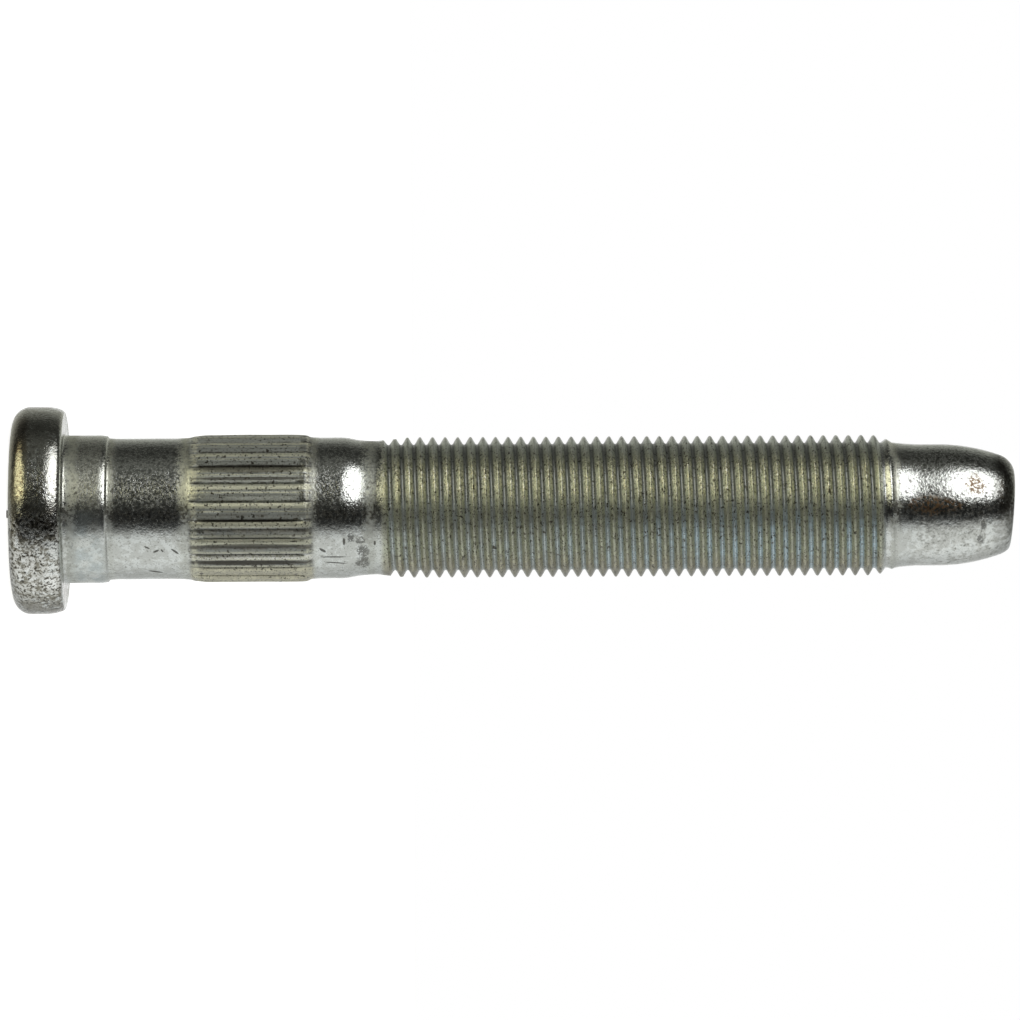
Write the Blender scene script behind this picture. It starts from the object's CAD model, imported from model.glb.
import math
from bisect import bisect
from types import SimpleNamespace

import bmesh
import bpy
from mathutils import Matrix, Vector, noise


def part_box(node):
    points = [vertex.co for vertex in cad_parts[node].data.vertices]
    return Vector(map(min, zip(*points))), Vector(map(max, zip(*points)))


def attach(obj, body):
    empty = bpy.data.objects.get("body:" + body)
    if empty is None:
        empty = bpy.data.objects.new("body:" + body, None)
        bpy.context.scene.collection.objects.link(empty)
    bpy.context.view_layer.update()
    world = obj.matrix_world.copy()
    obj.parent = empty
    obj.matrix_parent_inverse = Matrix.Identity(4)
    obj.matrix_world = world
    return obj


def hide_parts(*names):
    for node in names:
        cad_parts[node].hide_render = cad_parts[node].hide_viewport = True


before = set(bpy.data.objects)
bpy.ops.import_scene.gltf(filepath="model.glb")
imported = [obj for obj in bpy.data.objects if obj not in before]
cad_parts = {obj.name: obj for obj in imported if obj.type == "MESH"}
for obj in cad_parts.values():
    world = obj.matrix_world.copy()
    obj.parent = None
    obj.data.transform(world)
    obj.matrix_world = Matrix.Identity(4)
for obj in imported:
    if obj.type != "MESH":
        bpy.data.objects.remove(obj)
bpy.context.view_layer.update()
mm = 0.001
tau = 2 * math.pi


# Camera: it looks square at the stud, with the tip to the right and +X down in the picture

cameraPlace = {
    "distance": 784.0,  # mm
    "aimHeight": 49.85,  # mm above the bearing face
    "axisOffset": 0.354,  # mm that the stud's axis lies under the middle of the picture
    "lens": 247.0, "sensor": 36.0,
    "roll": 0.295,  # degrees, the tip end higher
}


def makeCamera(place):
    roll = math.radians(place["roll"])
    right = Vector((math.sin(roll), 0, math.cos(roll)))
    up = Vector((-math.cos(roll), 0, math.sin(roll)))
    back = Vector((0, -1, 0))
    spot = Vector((0, 0, place["aimHeight"])) - up * place["axisOffset"] + back * place["distance"]
    lens = bpy.data.cameras.new("studioCamera")
    lens.lens, lens.sensor_width = place["lens"], place["sensor"]
    lens.clip_start, lens.clip_end = 0.01, 20.0
    camera = bpy.data.objects.new("studioCamera", lens)
    turn = Matrix((right, up, back)).transposed()
    camera.matrix_world = Matrix.Translation(spot * mm) @ turn.to_4x4()
    bpy.context.scene.collection.objects.link(camera)
    bpy.context.scene.camera = camera


makeCamera(cameraPlace)
print("stage: camera")


# Stud: profiles spun round the axis, a helical grid for the thread, then moves of the vertices
# It is made in mm and scaled to metres at the end. Heights are counted from the bearing face under the head

studShape = {
    "headRadius": 11.6, "headHeight": 5.75, "faceRound": 2.0,
    "crownBend": 4.9, "crownLean": 20.0, "crownCorner": 0.65, "crownDepth": 2.0,  # rim on the bearing side
    "headOffset": 0.12,  # the head sits a little off the axis, towards +X
    "barAngles": (-87.5, 2.5, 92.5, 182.5), "barHeight": 0.2,  # low bars on the head's outer face
    "barReach": (7.3, 8.9), "barHalf": 0.47, "barTaper": 0.86,
    "shoulderRadius": 8.27, "shoulderFillet": 0.4, "shankRadius": 7.9,
    "toothAngle": 15.0, "valleyAngle": 10.0, "valleyRadius": 7.55, "crestRadius": 8.235,
    "teethSpan": (13.3, 29.4),
    "foldDepth": 1.0, "deepFold": 317.7, "deepFoldDepth": 0.2,  # folds along the teeth, one of them deep
    "pitch": 1.4111, "grooves": 43, "firstGroove": 35.5623, "grooveStart": 0.5,  # turns in which it gets deep
    "rootRadius": 7.02, "threadRadius": 7.88, "crestsFrom": 34.9, "threadSpan": (33.0, 95.29),
    "pilotRadius": 6.8, "pilotStart": 95.3, "noseBend": 20.6, "noseAngle": 20.0, "noseCorner": 2.46,
    "noseHeight": 97.7, "endSlant": 4.0, "endPlace": 4.02, "endSoft": 0.18,  # the sheared end
    "columns": 240,  # round the head, the teeth and the shank; the thread has half as many
    "seamAngle": 85.0,  # where the spins start, on the side away from the camera
    "rowGap": 0.6, "sharpAngle": 42.0,  # an edge between faces that turn further is drawn sharp
}

# Unevenness of the steel: depth and size in mm, and a seed
headWaves = ((0.05, 5.0, 3.1), (0.02, 1.6, 8.4))
shankWave, toothWave, crestWave = (0.02, 3.0, 2.2), (0.03, 1.1, 5.2), (0.02, 0.9, 1.7)
foldWave = (0.7, 2.6, 6.6)  # its depth is a share of the fold's

# Heights and radii of the lines that the outline follows, in mm
shoulderLine = ([4.1, 4.35, 4.55, 4.75, 4.9, 4.96, 5.04, 5.12, 5.3, 5.9],
                [8.27, 8.255, 8.23, 8.195, 8.15, 8.06, 7.95, 7.92, 7.912, 7.9])
neckLine = ([31.1, 31.5, 31.93, 32.49, 33.05, 33.6, 34.17, 34.7],
            [7.9, 7.87, 7.815, 7.707, 7.595, 7.512, 7.48, 7.475])
leadLine = ([92.0, 92.6, 93.0, 93.4, 93.9, 94.4, 94.9, 95.3],
            [7.02, 7.005, 6.98, 6.95, 6.905, 6.865, 6.825, 6.8])
crestLine = ([35.0, 36.27, 36.98, 37.68, 38.39, 39.1, 90.55, 91.3, 91.7, 92.4, 92.9, 93.2],
             [7.475, 7.63, 7.68, 7.79, 7.85, 7.88, 7.88, 7.7, 7.5, 7.27, 7.02, 6.8])
# Heights, and how much of their full size the crests and the valleys of the teeth have there
toothLine = ([13.3, 14.0, 14.56, 15.1, 15.68, 16.2, 25.0, 26.3, 26.9, 27.15, 27.4, 27.55, 27.7, 28.0, 28.6],
             [0.0, 0.13, 0.55, 0.75, 0.94, 1.0, 1.0, 0.96, 0.9, 0.8, 0.45, 0.2, 0.1, 0.05, 0.0])
valleyLine = ([13.8, 14.3, 15.0, 15.6, 25.9, 26.6, 27.2, 27.8],
              [0.0, 0.25, 0.85, 1.0, 1.0, 0.8, 0.2, 0.0])
# Shares of the full depth of the valleys that face the camera, by number round the stud
valleyDepths = {14: 0.55, 15: 0.55, 16: 0.45, 17: 0.5, 18: 0.55, 19: 0.35, 20: 0.45, 21: 0.4}
# One tooth's columns in degrees from the middle of a valley, how far each one rises, and its fold in mm
toothColumns = (0.0, 1.0, 2.5, 4.0, 5.7, 6.7, 7.7, 8.9, 11.4, 13.6)
toothRise = (toothColumns + (15.0,), (0.0, 0.66, 0.85, 1.0, 0.84, 0.84, 0.84, 0.84, 0.84, 0.7, 0.0))
toothFold = (toothColumns + (15.0,), (0.0, 0.0, 0.0, 0.0, 0.03, 0.05, 0.0, 0.06, 0.04, 0.0, 0.0))
# Rows of one turn of thread in mm from the middle of a groove, and the flank's rise from root to crest
threadRows = (0.0, 0.07, 0.15, 0.54, 0.63, 0.7055, 0.781, 0.871, 1.2611, 1.3411)
flankLine = ((0.0, 0.07, 0.15, 0.54, 0.63, 0.7055), (0.0, 0.018, 0.085, 0.865, 0.965, 1.0))

weldGap = 1e-3  # mm
midThread = 60.0  # mm, tells the two ends of the thread apart


def follow(line, at):
    places, values = line
    i = min(max(bisect(places, at), 1), len(places) - 1)
    share = min(1.0, max(0.0, (at - places[i - 1]) / (places[i] - places[i - 1])))
    return values[i - 1] + (values[i] - values[i - 1]) * share


def wander(x, y, z, wave):
    depth, size, seed = wave
    return depth * noise.noise(Vector((x / size + seed, y / size - seed, z / size + 0.37 * seed)))


def arcPoints(centre, radius, start, end, steps):
    made = []
    for i in range(steps + 1):
        a = math.radians(start + (end - start) * i / steps)
        made.append((centre[0] + radius * math.cos(a), centre[1] + radius * math.sin(a)))
    return made


def closeRows(points, gap):
    made = [points[0]]  # adds points, so that no straight run is longer than the gap
    for (r0, z0), (r1, z1) in zip(points, points[1:]):
        pieces = max(1, math.ceil(math.hypot(r1 - r0, z1 - z0) / gap - 1e-6))
        made += [(r0 + (r1 - r0) * i / pieces, z0 + (z1 - z0) * i / pieces) for i in range(1, pieces + 1)]
    return made


def spinChain(bm, points, columns, start, rise=0.0, doublings=3):
    old = set(bm.verts)
    a = math.radians(start)
    chain = [bm.verts.new((r * math.cos(a), r * math.sin(a), z)) for r, z in points]
    edges = [bm.edges.new(pair) for pair in zip(chain, chain[1:])]
    parts = 2 ** doublings  # one sector is spun and then doubled, which is much quicker than a full spin
    bmesh.ops.spin(bm, geom=chain + edges, cent=(0, 0, 0), axis=(0, 0, 1), dvec=(0, 0, rise / columns),
                   angle=tau / parts, steps=columns // parts, use_merge=False)
    for i in range(doublings):
        share = 2 ** i / parts
        sector = [v for v in bm.verts if v not in old]
        edges = dict.fromkeys(e for v in sector for e in v.link_edges)  # each one once, in a fixed order
        faces = dict.fromkeys(f for v in sector for f in v.link_faces)
        made = bmesh.ops.duplicate(bm, geom=[*sector, *edges, *faces])["geom"]
        copy = [g for g in made if isinstance(g, bmesh.types.BMVert)]
        bmesh.ops.rotate(bm, cent=(0, 0, 0), matrix=Matrix.Rotation(tau * share, 3, "Z"), verts=copy)
        bmesh.ops.translate(bm, vec=(0, 0, rise * share), verts=copy)
    bmesh.ops.remove_doubles(bm, verts=[v for v in bm.verts if v not in old], dist=weldGap)
    return [v for v in bm.verts if v not in old]


def fixOrder(bm):  # spin and extrude leave the faces in an order that changes from run to run
    bm.verts.index_update()

    def place(face):
        first, second, third = sorted(v.index for v in face.verts)[:3]
        return (first * 2.0 ** 17 + second) * 2.0 ** 17 + third

    bm.faces.sort(key=place)


def headProfile(s):
    head, high = s["headRadius"], s["headHeight"]
    face = [(r, -high) for r in (0.0, 1.5, 3.0, 4.5, 6.0, 7.25, 7.7, 8.2, 8.7, 8.95)]
    corner = arcPoints((head - s["faceRound"], s["faceRound"] - high), s["faceRound"], -90, 0, 10)
    bend, deep, lean, tight = s["crownBend"], s["crownDepth"], s["crownLean"], s["crownCorner"]
    rim = arcPoints((head - bend, -deep), bend, 0, lean, 8)
    a = math.radians(lean)
    middle = (rim[-1][0] - tight * math.cos(a), rim[-1][1] - tight * math.sin(a))
    rim += arcPoints(middle, tight, lean, math.degrees(math.asin(-middle[1] / tight)), 5)[1:]
    side = [(head, z) for z in (-3.3, -2.9, -2.5, -2.3)]
    lip = [(10.93, 0.04), (10.75, 0.09), (10.5, 0.09), (10.2, 0.02)]
    seat = [(9.9, 0.0), (9.4, 0.0)]
    foot = s["shoulderFillet"]
    fillet = arcPoints((s["shoulderRadius"] + foot, foot), foot, 270, 180, 6)
    return face + corner + side + rim[1:] + lip + seat + fillet


def bodyRadius(z):
    if z < 6.5:
        return follow(shoulderLine, z)
    return follow(neckLine, z) if z < midThread else follow(leadLine, z)


def shankProfile():
    heights = [0.8 + 0.45 * i for i in range(8)] + shoulderLine[0]
    heights += [6.4 + 0.5 * i for i in range(14)]
    heights += [13.3, 13.6, 13.9, 14.1, 14.3, 14.5, 14.7, 14.9, 15.15, 15.4, 15.7, 16.0, 16.4]
    heights += [16.9 + 0.5 * i for i in range(17)]
    heights += [25.3, 25.6, 25.9, 26.2, 26.5, 26.75, 26.9, 27.05, 27.2, 27.35, 27.5, 27.65, 27.9]
    heights += [28.2, 28.8, 29.4, 29.9, 30.4, 30.8, 31.1, 31.3, 31.5, 31.7, 31.93, 32.2, 32.49, 32.7]
    return [(bodyRadius(z), z) for z in heights]


def tipProfile(s):
    bend, lean, corner = s["noseBend"], s["noseAngle"], s["noseCorner"]
    nose = arcPoints((s["pilotRadius"] - bend, s["noseHeight"]), bend, 0, lean, 22)
    endR, endZ = nose[-1]
    a = math.radians(lean)
    middle = (endR - corner * math.cos(a), endZ - corner * math.sin(a))
    corners = arcPoints(middle, corner, lean, 90, 16)
    pilot = [(s["pilotRadius"], z) for z in (s["pilotStart"], 95.8, 96.3, 96.8, 97.3)]
    return pilot + nose + corners[1:] + [(r, corners[-1][1]) for r in (2.8, 2.1, 1.4, 0.7, 0.0)]


def weldTwoToOne(bm, height, columns, start):
    ring = [v for v in bm.verts if abs(v.co.z - height) < weldGap]  # every second point joins its neighbour
    step = tau / columns
    for v in ring:
        k = round((math.atan2(v.co.y, v.co.x) - math.radians(start)) / step)
        if k % 2:
            a = math.radians(start) + (k - 1) * step
            v.co.xy = Vector((math.cos(a), math.sin(a))) * v.co.xy.length


def threadGrid(bm, s, below, above):
    start, pitch = s["seamAngle"], s["pitch"]
    first = s["firstGroove"] + pitch * start / 360 - 2 * pitch
    heights = [first + pitch * k + row for k in range(s["grooves"]) for row in threadRows]
    heights.append(first + s["grooves"] * pitch)
    grid = spinChain(bm, [(7.2, z) for z in heights], s["columns"] // 2, start, rise=pitch)
    rim = list(dict.fromkeys(e for v in grid for e in v.link_edges if e.is_boundary))
    for v in bmesh.ops.extrude_edge_only(bm, edges=rim)["geom"]:
        if isinstance(v, bmesh.types.BMVert):
            v.co.z = below if v.co.z < midThread else above
            v.co.xy = v.co.xy.normalized() * bodyRadius(v.co.z)


def raiseBars(bm, s):
    face = [(f, f.calc_center_median()) for f in bm.faces if f.verts[0].co.z < 0.1 - s["headHeight"]]
    inner, outer = s["barReach"]
    bars = []
    for middle in s["barAngles"]:
        a = math.radians(middle)
        along, across = Vector((math.cos(a), math.sin(a))), Vector((-math.sin(a), math.cos(a)))
        bars.append([f for f, c in face
                     if inner < c.xy.dot(along) < outer and abs(c.xy.dot(across)) < s["barHalf"]])
    for bar in bars:
        made = bmesh.ops.extrude_face_region(bm, geom=bar)["geom"]
        bmesh.ops.delete(bm, geom=bar, context="FACES")
        lifted = [v for v in made if isinstance(v, bmesh.types.BMVert)]
        centre = sum((v.co for v in lifted), Vector()) / len(lifted)
        for v in lifted:
            v.co = centre + (v.co - centre) * s["barTaper"]
            v.co.z -= s["barHeight"]


def toothRadius(s, angle, z):
    turns = (angle - s["valleyAngle"]) / s["toothAngle"]
    place = (angle - s["valleyAngle"]) % s["toothAngle"]
    number = round(turns) % round(360 / s["toothAngle"])
    crest = s["crestRadius"] - s["shankRadius"]
    share = valleyDepths.get(number, 0.6 + 0.07 * (number * 5 % 8))  # the far side's valleys are uneven too
    deep = (s["shankRadius"] - s["valleyRadius"] + crest) * share - crest
    up, down = follow(toothLine, z), follow(valleyLine, z)
    tooth = round(turns - 0.5)
    fold = follow(toothFold, place) * s["foldDepth"] * (1 + wander(tooth * 3.7, 0.0, z, foldWave))
    fold += s["deepFoldDepth"] * max(0.0, 1 - abs(angle - s["deepFold"]) / 2)
    low = s["shankRadius"] - deep * down + crest * up * (1 - down)
    high = s["shankRadius"] + crest * up - fold * down
    return low + (high - low) * follow(toothRise, place)


def threadRadius(s, angle, z):
    pitch = s["pitch"]
    turns = (z - s["firstGroove"]) / pitch - angle / 360
    groove = round(turns)
    off = abs(turns - groove) * pitch  # distance from the middle of the groove
    along = groove + angle / 360  # turns since the groove began
    depth = min(1.0, max(0.0, along / s["grooveStart"]))
    body = bodyRadius(z)
    crest = max(body, follow(crestLine, z)) if z > s["crestsFrom"] else body
    rise = follow(flankLine, off)
    if z > midThread:
        root = min(body, s["rootRadius"])
        return root + (max(crest, root) - root) * rise
    root = body + (s["rootRadius"] - body) * depth
    return min(crest, root + (s["threadRadius"] - root) * rise) if depth > 0 else crest


def shapeVertex(s, v):
    x, y, z = v.co
    r = math.hypot(x, y)
    angle = math.degrees(math.atan2(y, x))
    if angle < 0:
        angle += 360
    teethFrom, teethTo = s["teethSpan"]
    threadFrom, threadTo = s["threadSpan"]
    if z < 0.3 and r > 8:  # head, forged a little uneven
        grow = sum(wander(x, y, z, wave) for wave in headWaves)
        if r > 11.0:
            r += grow
        elif z < -5:
            z -= 0.5 * grow
    elif teethFrom < z < teethTo:  # the even columns are gathered where the tooth's outline bends
        spacing = s["toothAngle"] / len(toothColumns)
        index = round((angle - s["valleyAngle"]) % s["toothAngle"] / spacing) % len(toothColumns)
        share = follow(toothLine, z)
        angle += (toothColumns[index] - index * spacing) * share
        r = toothRadius(s, angle, z) + wander(x, y, z * 0.3, toothWave) * share
    elif threadFrom < z < threadTo:
        r = threadRadius(s, angle, z)
        if 36 < z < 93 and r > 7.5:
            r += wander(x, y, z, crestWave) - 0.006  # worn crests
    elif 6 < z < teethFrom or teethTo < z < threadFrom:
        r += wander(x, y, z, shankWave)
    a = math.radians(angle)
    v.co = Vector((r * math.cos(a), r * math.sin(a), z))


def shearEnd(s, v, top):
    cut = top - math.tan(math.radians(s["endSlant"])) * (v.co.x + s["endPlace"])
    over, soft = v.co.z - cut, s["endSoft"]  # a soft minimum, so the sheared edge is rounded a little
    if over > soft:
        v.co.z = cut
    elif over > -soft:
        v.co.z -= (over + soft) ** 2 / (4 * soft)


def makeStud(s):
    bm = bmesh.new()
    columns, start = s["columns"], s["seamAngle"]
    shank, tip = shankProfile(), tipProfile(s)
    spinChain(bm, closeRows(headProfile(s), s["rowGap"]) + shank, columns, start)
    weldTwoToOne(bm, shank[-1][1], columns, start)
    threadGrid(bm, s, shank[-1][1], s["pilotStart"])
    spinChain(bm, tip, columns // 2, start)
    bmesh.ops.remove_doubles(bm, verts=bm.verts, dist=weldGap)
    fixOrder(bm)
    print("stage: stud spun,", len(bm.faces), "faces")
    for v in bm.verts:
        if v.co.z > 98:
            shearEnd(s, v, tip[-1][1])
        else:
            shapeVertex(s, v)
    raiseBars(bm, s)
    for v in bm.verts:
        if v.co.z < 0.02:
            v.co.x += s["headOffset"]
    fixOrder(bm)
    bmesh.ops.recalc_face_normals(bm, faces=bm.faces)
    for f in bm.faces:
        f.smooth = True
    for e in bm.edges:
        e.smooth = e.calc_face_angle(0.0) < math.radians(s["sharpAngle"])
    bmesh.ops.scale(bm, vec=(mm, mm, mm), verts=bm.verts)
    loose = sum(1 for e in bm.edges if not e.is_manifold)
    mesh = bpy.data.meshes.new("studSteel")
    bm.to_mesh(mesh)
    bm.free()
    triangles = sum(len(p.vertices) - 2 for p in mesh.polygons)
    print("stage: stud shaped,", triangles, "triangles,", loose, "open edges")
    stud = bpy.data.objects.new("studSteel", mesh)
    bpy.context.scene.collection.objects.link(stud)
    return stud


stud = makeStud(studShape)
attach(stud, "root")
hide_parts("wheel_stud")


# Shader maths: a wrapped socket takes Python's operators, and each one adds a Math node

class Wire:
    def __init__(self, net, socket):
        self.net, self.socket = net, socket

    def out(self, name):
        return Wire(self.net, self.socket.node.outputs[name])

    def math(self, kind, *values):
        return self.net.add("ShaderNodeMath", {"operation": kind}, dict(enumerate(values)))

    def __add__(self, other):
        return self.math("ADD", self, other)

    def __sub__(self, other):
        return self.math("SUBTRACT", self, other)

    def __rsub__(self, other):
        return self.math("SUBTRACT", other, self)

    def __mul__(self, other):
        return self.math("MULTIPLY", self, other)

    def __truediv__(self, other):
        return self.math("DIVIDE", self, other)

    def __neg__(self):
        return self.math("MULTIPLY", self, -1.0)

    __radd__, __rmul__ = __add__, __mul__

    def root(self):
        return self.math("SQRT", self)

    def fraction(self):
        return self.math("FRACT", self)

    def size(self):
        return self.math("ABSOLUTE", self)

    def most(self, other):
        return self.math("MAXIMUM", self, other)

    def turn(self, other):
        return self.math("ARCTAN2", self, other)

    def ramp(self, low, high):
        sockets = {"Value": self, "From Min": low, "From Max": high}
        return self.net.add("ShaderNodeMapRange", {"interpolation_type": "SMOOTHSTEP"}, sockets)

    def band(self, low, high, soft):
        return self.ramp(low - soft, low + soft) * (1 - self.ramp(high - soft, high + soft))

    def near(self, middle, half):
        return 1 - (self - middle).size().ramp(half * 0.4, half * 1.6)


class Net:
    def __init__(self, tree):
        self.tree = tree
        tree.nodes.clear()

    def add(self, kind, settings=None, sockets=None, out=0):
        node = self.tree.nodes.new(kind)
        for name, value in (settings or {}).items():
            if name == "stops":
                stops = node.color_ramp.elements
                while len(stops) < len(value):
                    stops.new(1.0)
                for stop, (place, colour) in zip(stops, value):
                    stop.position = place
                    stop.color = (*colour, 1.0)
            else:
                setattr(node, name, value)
        for name, value in (sockets or {}).items():
            if isinstance(value, Wire):
                self.tree.links.new(value.socket, node.inputs[name])
            else:
                node.inputs[name].default_value = value
        return Wire(self, node.outputs[out]) if node.outputs else node

    def mix(self, share, first, second):
        sockets = {0: share, 6: self.colour(first), 7: self.colour(second)}
        return self.add("ShaderNodeMix", {"data_type": "RGBA"}, sockets, out=2)

    def colour(self, value):
        return value if isinstance(value, Wire) else (*value, 1.0)

    def noise(self, place, scale, detail, rough):
        values = {"Vector": place, "Scale": scale, "Detail": detail, "Roughness": rough}
        return self.add("ShaderNodeTexNoise", {}, values)


# Finish: zinc plating, with a yellow passivate on the teeth and the thread

steelLook = {
    "silver": (0.74, 0.76, 0.73), "bright": (0.96, 0.96, 0.92), "valley": (0.42, 0.44, 0.41),
    "satin": (0.66, 0.67, 0.55),  # duller rings beside the head, the steps, the teeth and the thread
    "olive": (0.51, 0.525, 0.40), "tan": (0.57, 0.535, 0.39), "pale": (0.80, 0.79, 0.62),
    "gold": (0.80, 0.73, 0.43), "grey": (0.56, 0.60, 0.58), "blue": (0.58, 0.68, 0.72),
    "dirt": (0.05, 0.045, 0.035), "pitted": (0.28, 0.265, 0.215), "stain": (0.15, 0.085, 0.035),
    "smooth": 0.11, "fleck": 0.22, "dull": 0.4, "rough": 0.36,  # roughness
    # How much of the light each surface scatters instead of mirroring it
    "haze": 0.03, "sootHaze": 0.13, "dullHaze": 0.14, "workedHaze": 0.2, "ridgeHaze": 0.45,
    "grainDepth": 0.032,  # mm
    # Noises: scale to a mm, detail and roughness
    "grain": (3.2, 3.0, 0.65), "speck": (5.2, 1.0, 0.5), "blot": (2.3, 1.0, 0.5),
    "mottle": (1.4, 4.0, 0.7), "cloud": (0.45, 2.0, 0.5),
}

# Dull rings by height: from, to and softness in mm
dullRings = ((0.3, 1.8, 0.6), (4.95, 5.6, 0.6), (13.1, 14.2, 0.6), (27.7, 28.2, 0.5),
             (33.6, 34.9, 0.6), (35.55, 35.9, 0.15), (92.3, 93.0, 0.5))
# Marks on the camera's side: height, place along X, half length, half width in mm, and lean in degrees
scratches = ((9.5, 4.3, 0.35, 0.08, 25), (10.5, 4.7, 0.35, 0.1, -20), (11.15, 4.65, 0.2, 0.09, 50),
             (12.6, 4.75, 0.5, 0.1, 35), (10.3, 7.0, 0.8, 0.08, 8), (29.0, 4.7, 0.4, 0.13, 30),
             (30.2, 5.45, 1.5, 0.06, 0), (30.4, 6.1, 1.3, 0.06, 4), (31.4, 3.7, 0.15, 0.4, 0),
             (34.8, 3.9, 0.12, 0.25, 0), (20.7, 6.05, 6.3, 0.26, 0), (20.7, 1.42, 6.2, 0.13, 0))
shades = ((21.0, -4.4, 6.6, 0.5, 0), (21.0, -3.3, 6.4, 0.2, 0), (21.0, 4.2, 6.4, 0.25, 0))
blotches = ((33.1, 3.6, 0.8, 0.35, 0), (33.5, 4.8, 0.7, 0.6, 10), (33.4, 6.1, 0.8, 0.55, -10),
            (32.2, 3.2, 0.4, 0.5, 30), (102.5, 2.2, 0.35, 0.6, 0), (102.2, 3.9, 0.4, 0.5, 0))
stains = ((97.0, 0.1, 3.2, 1.1, 0), (101.6, -2.15, 1.3, 1.1, 45))


def studMasks(net, look):
    m = SimpleNamespace()
    place = net.add("ShaderNodeTexCoord", out=3)  # Object coordinates
    spot = net.add("ShaderNodeVectorMath", {"operation": "SCALE"}, {0: place, "Scale": 1 / mm})
    m.x = net.add("ShaderNodeSeparateXYZ", {}, {0: spot})
    m.y, m.z = m.x.out("Y"), m.x.out("Z")
    m.grain = net.noise(spot, *look["grain"])
    m.speck = net.noise(spot, *look["speck"])
    m.blot = net.noise(spot, *look["blot"])
    m.mottle = net.noise(spot, *look["mottle"])
    m.cloud = net.noise(spot, *look["cloud"])

    m.head = 1 - m.z.ramp(-0.1, 0.1)
    m.tip = m.z.ramp(94.0, 96.0)
    m.teeth = m.z.band(14.2, 27.9, 0.3)
    m.thread = m.z.band(35.6, 91.4, 0.4)
    m.worked = m.teeth.most(m.thread)
    m.crest = (m.x * m.x + m.y * m.y).root().ramp(7.14, 7.4)
    m.front = (-m.y).ramp(0.0, 2.0)  # the camera's side
    m.lower = m.x.ramp(-0.3, 0.9)  # the side turned down in the photo, which is cleaner

    wavy = m.z + (m.cloud - 0.5) * 1.0 + (m.mottle - 0.5) * 1.4 + (m.grain - 0.5) * 1.6
    m.dull = m.z.band(1.4, 4.5, 0.3) * 0.4  # the shoulder
    for low, high, soft in dullRings:
        m.dull = wavy.band(low, high, soft).most(m.dull)

    turn = m.x.turn(-m.y) * (360 / tau)
    tooth = studShape["toothAngle"]
    m.phase = ((turn + 350) * (1 / tooth)).fraction() * tooth  # degrees past the middle of a valley
    m.finger = m.phase.band(0.5, 5.2, 0.5) * m.teeth
    # The darker middle of the head's side
    m.calm = m.head * (1 - m.lower) * (1 - m.z.ramp(-2.2, -1.2)) * m.z.ramp(-4.8, -4.2)
    return m


def marks(m, places, ragged):
    found = 0.0
    for high, along, long, wide, lean in places:
        a = math.radians(lean)
        dz, dx = m.z - high, m.x - along
        u, v = (dz * math.cos(a) + dx * math.sin(a)) / long, (dx * math.cos(a) - dz * math.sin(a)) / wide
        found = (1 - (u * u + v * v + (m.mottle + m.grain - 1) * ragged).ramp(0.5, 1.4)).most(found)
    return found * m.front


def teethColour(net, look, m, worn):
    phase, grain = m.phase, m.grain
    down = m.x.ramp(1.6, 2.6)
    last = m.x.ramp(6.4, 6.7)  # the lowest flank in the photo is plain
    valley = net.mix(down * 0.45, look["valley"], look["dirt"])
    ridge = m.finger.most(phase.near(7.6, 0.4) * (1 - down)).most(phase.near(12.2, 1.0) * down * 0.6)
    flank = net.mix(ridge * (m.mottle.ramp(0.3, 0.6) * 0.4 + 0.6), valley, net.mix(0.55, worn, look["pale"]))
    flank = net.mix(last, flank, net.mix(0.4, look["tan"], look["pale"]))
    flank = net.mix(m.x.near(5.4, 0.3) * grain.ramp(0.4, 0.5) * 0.7, flank, look["bright"])

    # Right ends of the teeth, dark between pale tops, and dirt in the corner beyond them
    tail = m.z.band(26.5, 28.3, 0.15) * (1 - phase.band(0.8, 6.5, 0.8))
    tail = m.z.band(27.35, 28.3, 0.12).most(tail) * (1 - m.lower)
    flank = net.mix(tail * (0.65 - grain.ramp(0.46, 0.56) * 0.4), flank, look["dirt"])
    tops = m.z.near(14.75, 0.3).most(m.z.near(27.35, 0.16) * 0.6)
    tops = tops * phase.band(0.8, 13.6, 0.8) * grain.ramp(0.36, 0.52)
    flank = net.mix(tops * 0.7, flank, look["pale"])
    flank = net.mix(m.z.band(27.75, 28.6, 0.15) * (1 - grain.ramp(0.4, 0.5)) * 0.6, flank, look["dirt"])

    # Dark seams along the folds
    seam = phase.near(14.6, 0.9).most(phase.near(10.2, 0.6) * 0.5).most(phase.near(5.6, 0.5) * 0.4)
    seam = seam * (1 - down) + phase.near(7.9, 1.3).most(phase.near(14.2, 0.7) * 0.5) * down
    seam = seam * (m.cloud.ramp(0.35, 0.55) * 0.6 + 0.4) * (grain.ramp(0.36, 0.5) * 0.7 + 0.3) * (1 - last)
    return net.mix(seam * 0.8, flank, look["dirt"])


def threadColour(net, look, m, worn):
    x, grain, mottle = m.x, m.grain, m.mottle
    low = net.mix(x.ramp(-1.0, 3.0) * m.z.ramp(42.0, 80.0), look["grey"], look["blue"])
    low = net.mix((1 - x.ramp(-2.0, 1.0)) * 0.62, low, look["dirt"])
    lit = x.band(-5.4, -1.0, 1.2)  # where the photo's gold flecks are
    high = net.mix(mottle.ramp(0.35, 0.65) * 0.35, worn, look["valley"])
    high = net.mix(mottle.ramp(0.46, 0.58) * grain.ramp(0.42, 0.54) * lit * 0.55, high, look["gold"])
    high = net.mix(grain.ramp(0.54, 0.6) * mottle.ramp(0.4, 0.55) * lit * 0.9, high, look["bright"])
    high = net.mix((1 - grain.ramp(0.34, 0.44)) * 0.75, high, look["dirt"])
    high = net.mix((1 - x.ramp(-6.8, -4.8)) * 0.6, high, look["grey"])
    high = net.mix(x.ramp(6.5, 7.6) * 0.45, high, look["dirt"])
    return net.mix(m.crest, low, high)


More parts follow.
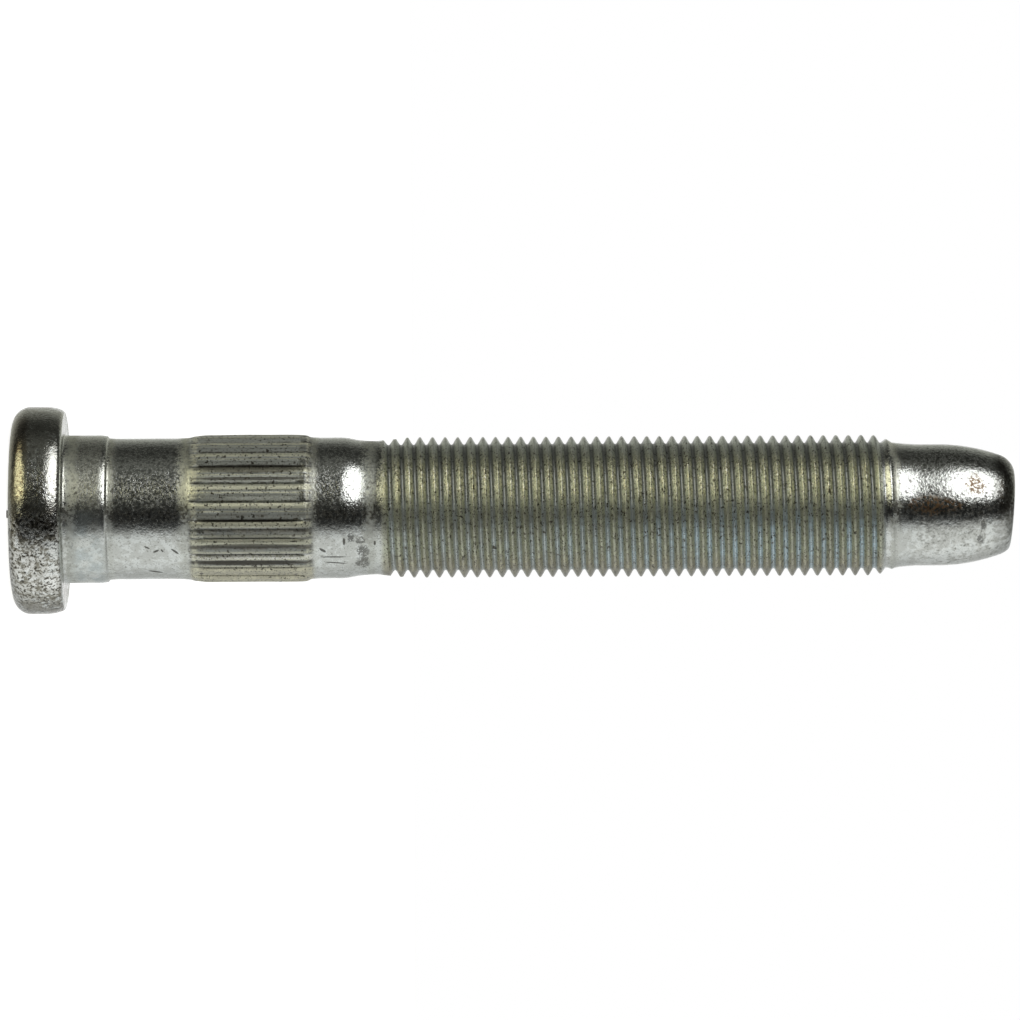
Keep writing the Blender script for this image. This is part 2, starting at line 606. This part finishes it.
def headColour(net, look, m, colour):
    side = m.z.band(-5.5, -3.7, 0.4)  # beside the rounded corner of the outer face
    corner = m.head * side * m.x.band(-7.5, -0.8, 0.8)
    colour = net.mix(corner * 0.5, colour, look["gold"])
    colour = net.mix(m.head * side * m.x.band(-10.5, -6.2, 0.7) * 0.6, colour, look["stain"])
    colour = net.mix(corner * m.grain.ramp(0.52, 0.58) * 0.8, colour, look["stain"])
    face = m.head * (1 - m.z.ramp(-5.4, -4.5))
    return net.mix(face * (0.6 + m.lower * 0.35), colour, look["pitted"])


def wearColour(net, look, m, colour):
    x, z, grain, mottle, head, lower = m.x, m.z, m.grain, m.mottle, m.head, m.lower
    # Specks and pits, soot in the dark band of the photo, and the blue tinge of the shoulder
    spots = m.blot.ramp(0.65, 0.7) * (0.3 + m.worked * 0.65)
    spots = (m.speck.ramp(0.62, 0.68) * (0.35 + m.worked * 0.6)).most(spots)
    pits = grain.ramp(0.64, 0.72) * (0.25 + m.cloud * 0.8)
    colour = net.mix(spots.most(pits), colour, look["dirt"])
    soot = (grain + m.blot * 0.5 + x.band(-0.3, 1.3, 1.0) * 0.15).ramp(0.82, 0.9) * x.band(-3.2, 1.8, 0.8)
    colour = net.mix(soot * m.front * (1 - m.worked) * 0.75, colour, look["dirt"])
    colour = net.mix(z.band(1.4, 4.6, 0.8) * lower * m.cloud.ramp(0.35, 0.6) * 0.5, colour, look["blue"])

    # Fine dark grains on the upper side
    grains = 1 - grain.ramp(0.4, 0.48)
    pepper = grains * (1 - lower) * (1 - m.worked.most(head)) * (0.3 + m.tip * 0.15)
    pepper = pepper.most(grains * head * (1 - lower) * (1 - z.ramp(-2.4, -1.6)) * 0.5)
    colour = net.mix(pepper, colour, look["dirt"])

    # Mottling, strongest on the head's lower half: dull patches, bright patches and deep pits
    rim = head * x.ramp(8.8, 11.4) * 0.75
    patchy = (head * (0.5 + lower * 0.42) + lower * (0.3 + m.tip * 0.1)).most(rim)
    patchy = patchy.most(head * x.near(4.0, 0.9).most(x.near(7.4, 0.8)) * (1 - z.ramp(-2.0, -1.3)))
    blobs = mottle * (1 - head * 0.45) + m.blot * head * 0.45 + m.cloud * 0.7
    colour = net.mix((blobs + head * 0.04).ramp(0.76, 0.9) * patchy, colour, look["pitted"])
    flash = grain.ramp(0.42, 0.52) * (1 - mottle.ramp(0.48, 0.6)) * lower * (head * 0.65 + m.tip * 0.3)
    flash = flash * (1 - rim)
    flash = flash.most(head * x.near(8.2, 0.8) * z.band(-1.7, -0.4, 0.3) * grain.ramp(0.4, 0.5) * m.front)
    colour = net.mix(flash, colour, look["bright"])
    deep = head * (0.4 + m.cloud) + m.tip * mottle.ramp(0.45, 0.6) * 0.5
    deep = (1 - grain.ramp(0.39, 0.46)) * lower * deep
    colour = net.mix(deep, colour, look["dirt"])

    # The dark edge of the sheared end
    edge = z.ramp(103.2, 104.6) * (1 - x.ramp(-0.5, 2.0) * 0.6) * (0.35 + grain.ramp(0.42, 0.52) * 0.6)
    return net.mix(edge, colour, look["dirt"])


def makeSteel(look):
    material = bpy.data.materials.new("zincPlatedSteel")
    material.use_nodes = True
    net = Net(material.node_tree)
    m = studMasks(net, look)

    colour = net.mix(m.dull * (0.85 - m.lower * 0.6), look["silver"], look["satin"])
    shadow = m.z.band(33.3, 35.5, 0.15) * (1 - m.lower * 0.7) * (0.85 - m.grain.ramp(0.5, 0.6) * 0.5)
    colour = net.mix(shadow, colour, look["valley"])  # the neck, before the thread
    worn = net.mix(m.x.ramp(4.6, 7.2), look["olive"], look["tan"])
    colour = net.mix(m.teeth, colour, teethColour(net, look, m, worn))
    colour = net.mix(m.thread, colour, threadColour(net, look, m, worn))
    colour = headColour(net, look, m, colour)
    colour = wearColour(net, look, m, colour)
    brown = marks(m, stains, 3.5) * m.grain.ramp(0.44, 0.52)
    colour = net.mix(brown * 0.9, colour, look["stain"])
    colour = net.mix(marks(m, shades, 0.8) * 0.75, colour, look["dirt"])
    dark = marks(m, scratches, 1.2).most(marks(m, blotches, 5.0) * m.grain.ramp(0.4, 0.5) * 0.85)
    colour = net.mix(dark * 0.85, colour, look["dirt"])

    flecks = m.grain.ramp(0.43, 0.62) * (0.65 + m.head * 0.15 - m.calm * 0.4)
    rough = look["smooth"] + flecks * (1 - m.lower.most(m.head) * 0.5) * look["fleck"]
    rough = rough + m.dull * (look["dull"] - rough)
    rough = rough + m.worked * (look["rough"] + (flecks - 0.5) * 0.16 - rough) + brown * 0.2

    plain = 1 - m.worked.most(m.head)
    sooty = m.grain.ramp(0.48, 0.56) * m.x.band(-2.2, 1.6, 0.6) * plain
    ridges = m.teeth * m.x.band(-0.3, 1.15, 0.15).most(1 - m.x.ramp(-5.7, -4.9))
    ridges = ridges.most(m.finger.most(m.z.band(4.8, 5.1, 0.06) * m.lower))  # with the shoulder's lower edge
    haze = (flecks * look["haze"]).most(m.dull * look["dullHaze"]).most(m.worked * look["workedHaze"])
    haze = haze.most(sooty * look["sootHaze"]).most(ridges * look["ridgeHaze"])

    height = m.grain * (0.7 + m.head.most(m.worked) * 0.4 + m.tip * 0.15 - m.calm * 0.2) + m.speck * 0.3
    height = height + m.mottle * (0.8 + m.head * m.lower * 0.8) - dark * 0.8
    depth = {"Strength": 1.0, "Distance": look["grainDepth"] * mm, "Height": height}
    bump = net.add("ShaderNodeBump", {}, depth)
    shader = net.add("ShaderNodeBsdfPrincipled", {}, {
        "Base Color": colour, "Roughness": rough, "Metallic": 1 - haze, "Normal": bump})
    net.add("ShaderNodeOutputMaterial", {}, {"Surface": shader})
    return material


stud.data.materials.append(makeSteel(steelLook))
print("stage: steel")


# Studio: pale floor under the head, one soft lamp, and a surround that the plating mirrors

studio = {
    "floorSize": 3.2, "floorColour": (0.8, 0.8, 0.8), "floorGlow": 0.86,  # the glow is for the camera only
    "lampTurn": 42.5, "lampTilt": 25.0, "lampDistance": 2.1, "lampSize": (2.35, 1.36), "lampLevel": 2.5,
    "lampAim": 0.05,  # metres above the bearing face
    "upperAir": (0.985, 1.0, 0.90), "lowerAir": (0.975, 1.0, 0.995),
    "tipEnd": (0.08, 0.08, 0.07), "headEnd": (0.21, 0.2, 0.155),
    "endLight": (1.5, 1.44, 1.02),  # a warm patch in front, above the head
    "endAcross": 0.5, "endDrop": 0.62, "endWidth": 0.36, "endHeight": 0.42,
    "backdrop": (0.93, 0.99),  # where the white behind the stud starts and is full
}

# Brightness round the stud, by the angle from the camera's side towards the top of the picture
surround = (
    (-180, 0.54), (-150, 0.54), (-132, 0.56), (-114, 0.7), (-95, 0.84), (-72, 0.78), (-54, 0.77), (-45, 0.62),
    (-38, 0.34), (-32, 0.09), (-25, 0.02), (-7, 0.024), (3, 0.034), (14, 0.042), (30, 0.048), (45, 0.08),
    (62, 0.1), (76, 0.105), (88, 0.068), (98, 0.035), (112, 0.035), (121, 0.06), (130, 0.12), (139, 0.24),
    (150, 0.37), (165, 0.5), (180, 0.6))


def makeWorld(values):
    world = bpy.data.worlds.new("studio")
    bpy.context.scene.world = world
    world.use_nodes = True
    net = Net(world.node_tree)
    way = net.add("ShaderNodeTexCoord", out=0)  # in a world, the direction of the ray
    x = net.add("ShaderNodeSeparateXYZ", {}, {0: way})
    y, z = x.out("Y"), x.out("Z")
    turn = (-x).turn(-y) * (1 / tau) + 0.5
    stops = [((a + 180) / 360, tuple(v * t for t in values["upperAir" if a > -5 else "lowerAir"]))
             for a, v in surround]
    band = net.add("ShaderNodeValToRGB", {"stops": stops}, {0: turn})
    band = net.mix(z.ramp(0.68, 0.85), band, net.mix(0.65, band, values["tipEnd"]))
    across = (-x - values["endAcross"]) * (1 / values["endWidth"])
    along = (z + values["endDrop"]) * (1 / values["endHeight"])
    warm = (1 - (across * across + along * along).ramp(0.6, 1.3)) * (-y).ramp(0.0, 0.2)
    band = net.mix(warm, band, values["endLight"])
    band = net.mix((-z).ramp(0.9, 0.98), band, values["headEnd"])
    rays = net.add("ShaderNodeLightPath")  # its first output is Is Camera Ray
    mirrored = rays.out("Is Glossy Ray").most(rays.out("Is Transmission Ray")) * y.ramp(*values["backdrop"])
    colour = net.mix(rays.most(mirrored), band, (1.0, 1.0, 1.0))  # the backdrop behind the stud is white
    sky = net.add("ShaderNodeBackground", {}, {"Color": colour, "Strength": 1.0})
    net.add("ShaderNodeOutputWorld", {}, {"Surface": sky})


def makeLamp(values):
    a, t = math.radians(values["lampTurn"]), math.radians(values["lampTilt"])
    way = Vector((-math.sin(a) * math.cos(t), -math.cos(a) * math.cos(t), math.sin(t)))
    wide, high = values["lampSize"]
    light = bpy.data.lights.new("keyLight", "AREA")
    light.shape, light.size, light.size_y = "ELLIPSE", wide, high
    light.energy = values["lampLevel"] * math.pi * wide * high * math.pi / 4
    lamp = bpy.data.objects.new("keyLight", light)
    lamp.location = Vector((0, 0, values["lampAim"])) + way * values["lampDistance"]
    lamp.rotation_mode = "QUATERNION"
    lamp.rotation_quaternion = way.to_track_quat("Z", "Y")
    lamp.visible_camera = False
    bpy.context.scene.collection.objects.link(lamp)


def makeFloor(values):
    bm = bmesh.new()
    bmesh.ops.create_circle(bm, cap_ends=True, segments=96, radius=values["floorSize"])
    bmesh.ops.translate(bm, vec=(0, 0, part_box("wheel_stud")[0].z), verts=bm.verts)
    mesh = bpy.data.meshes.new("floor")
    bm.to_mesh(mesh)
    bm.free()
    floor = bpy.data.objects.new("floor", mesh)
    bpy.context.scene.collection.objects.link(floor)
    material = bpy.data.materials.new("paleFloor")
    material.use_nodes = True
    net = Net(material.node_tree)
    plain = net.add("ShaderNodeBsdfDiffuse", {}, {"Color": (*values["floorColour"], 1.0)})
    rays = net.add("ShaderNodeLightPath")
    glow = net.add("ShaderNodeEmission", {}, {"Color": (1, 1, 1, 1), "Strength": rays * values["floorGlow"]})
    both = net.add("ShaderNodeAddShader", {}, {0: plain, 1: glow})
    net.add("ShaderNodeOutputMaterial", {}, {"Surface": both})
    mesh.materials.append(material)
    floor.visible_glossy = floor.visible_shadow = False  # the stud doesn't mirror it, and it casts no shadow


makeWorld(studio)
makeFloor(studio)
makeLamp(studio)
bpy.context.scene.view_settings.view_transform = "Standard"
print("stage: studio")
